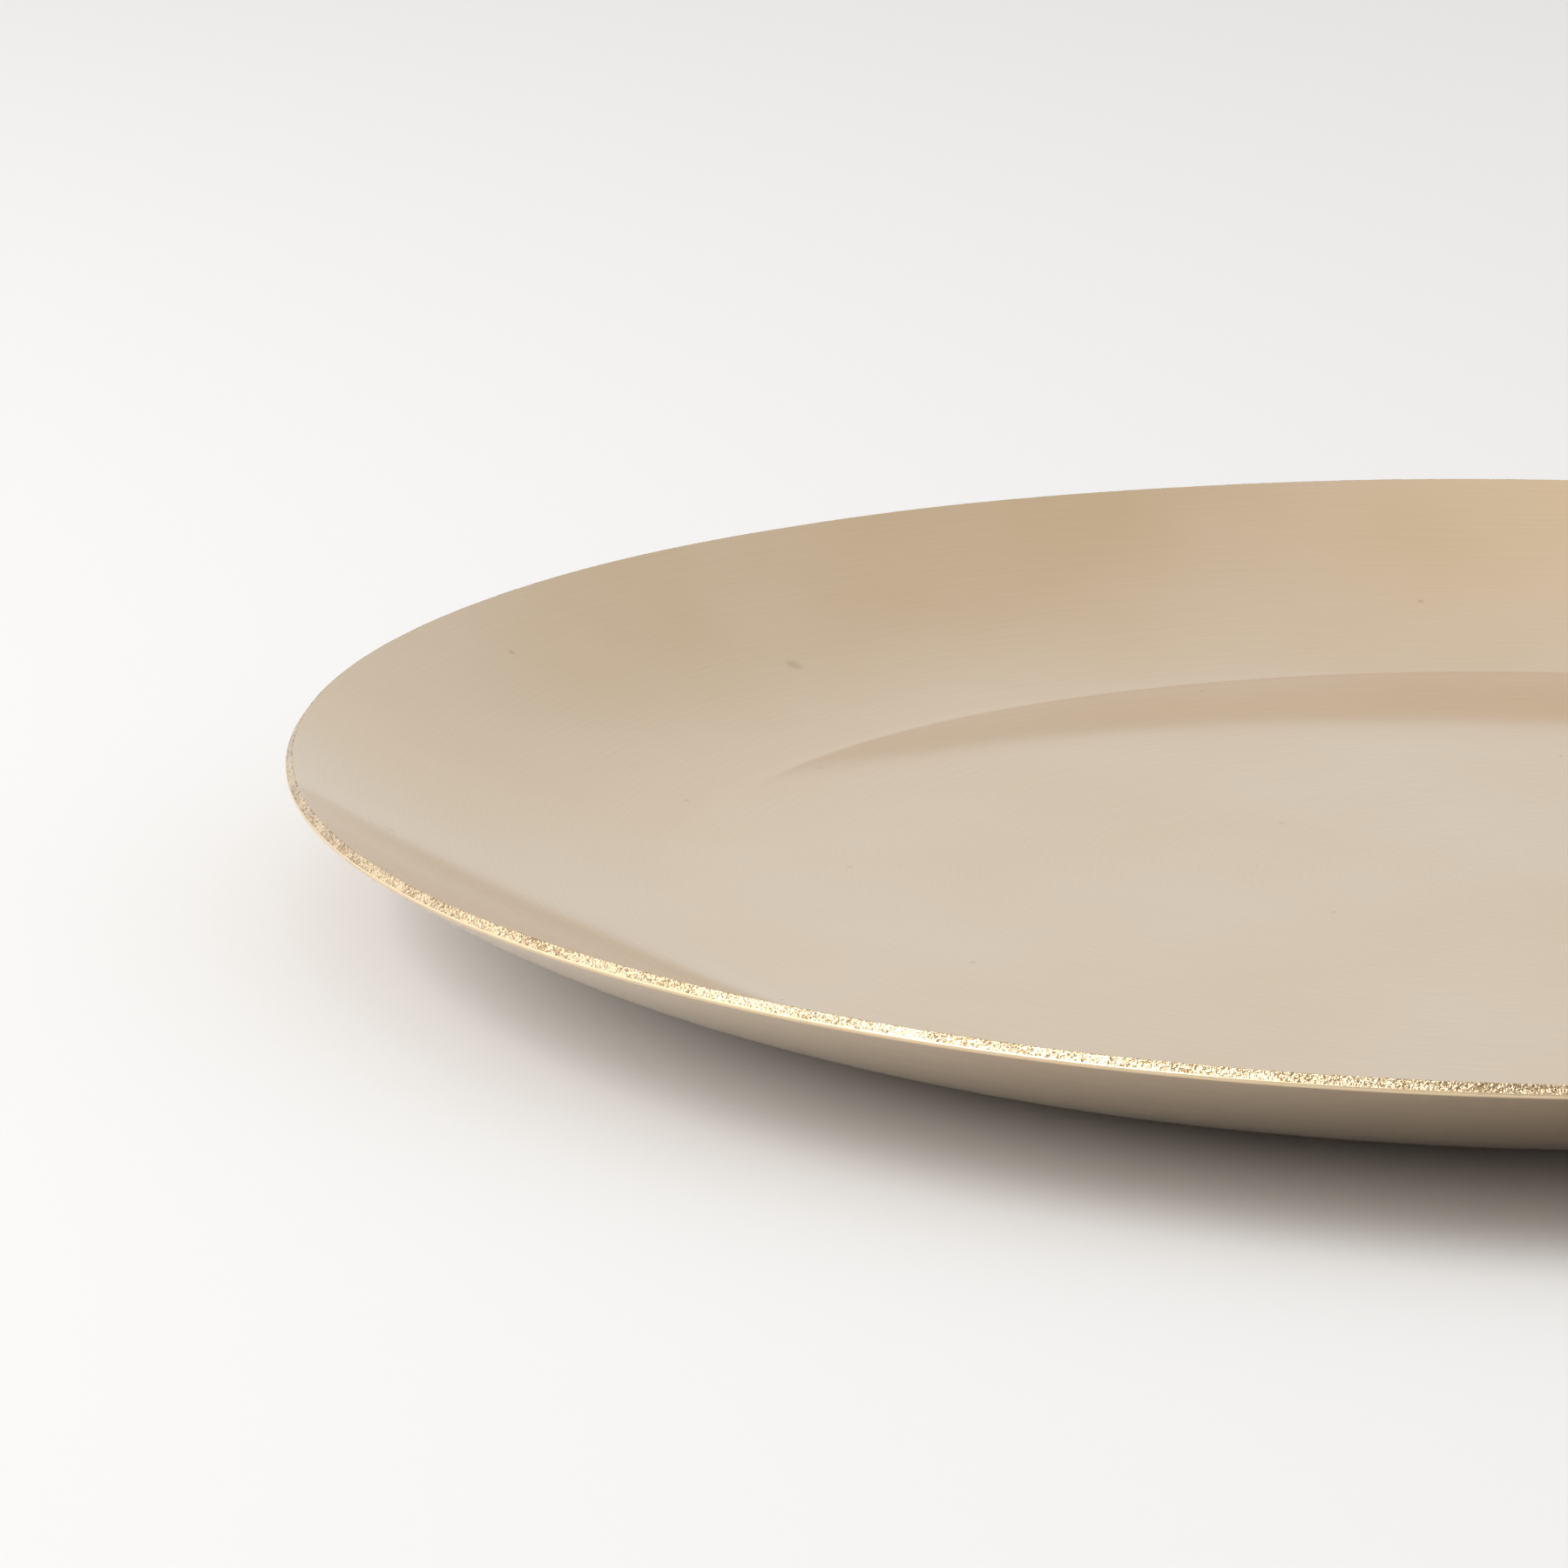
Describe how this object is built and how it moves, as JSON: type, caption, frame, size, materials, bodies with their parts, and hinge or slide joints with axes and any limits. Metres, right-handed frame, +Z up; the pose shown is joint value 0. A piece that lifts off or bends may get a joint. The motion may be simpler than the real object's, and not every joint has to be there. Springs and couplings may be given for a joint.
{
  "type": "brass tray",
  "caption": "Shallow round dish-shaped tray of thin sheet brass, with a flat base and a low curved wall that flares out to a plain cut rim.",
  "frame": {"origin": "middle of the flat underside, on the surface that the tray rests on", "axes": "+Z up, out of the dish; X and Y are level and alike, because the tray is round"},
  "size_m": [0.2, 0.2, 0.0124],
  "materials": {
    "tray": "satin, fine brushed, with a bright cut edge"
  },
  "bodies": {
    "root": {"tray": "tray"}
  },
  "joints": []
}
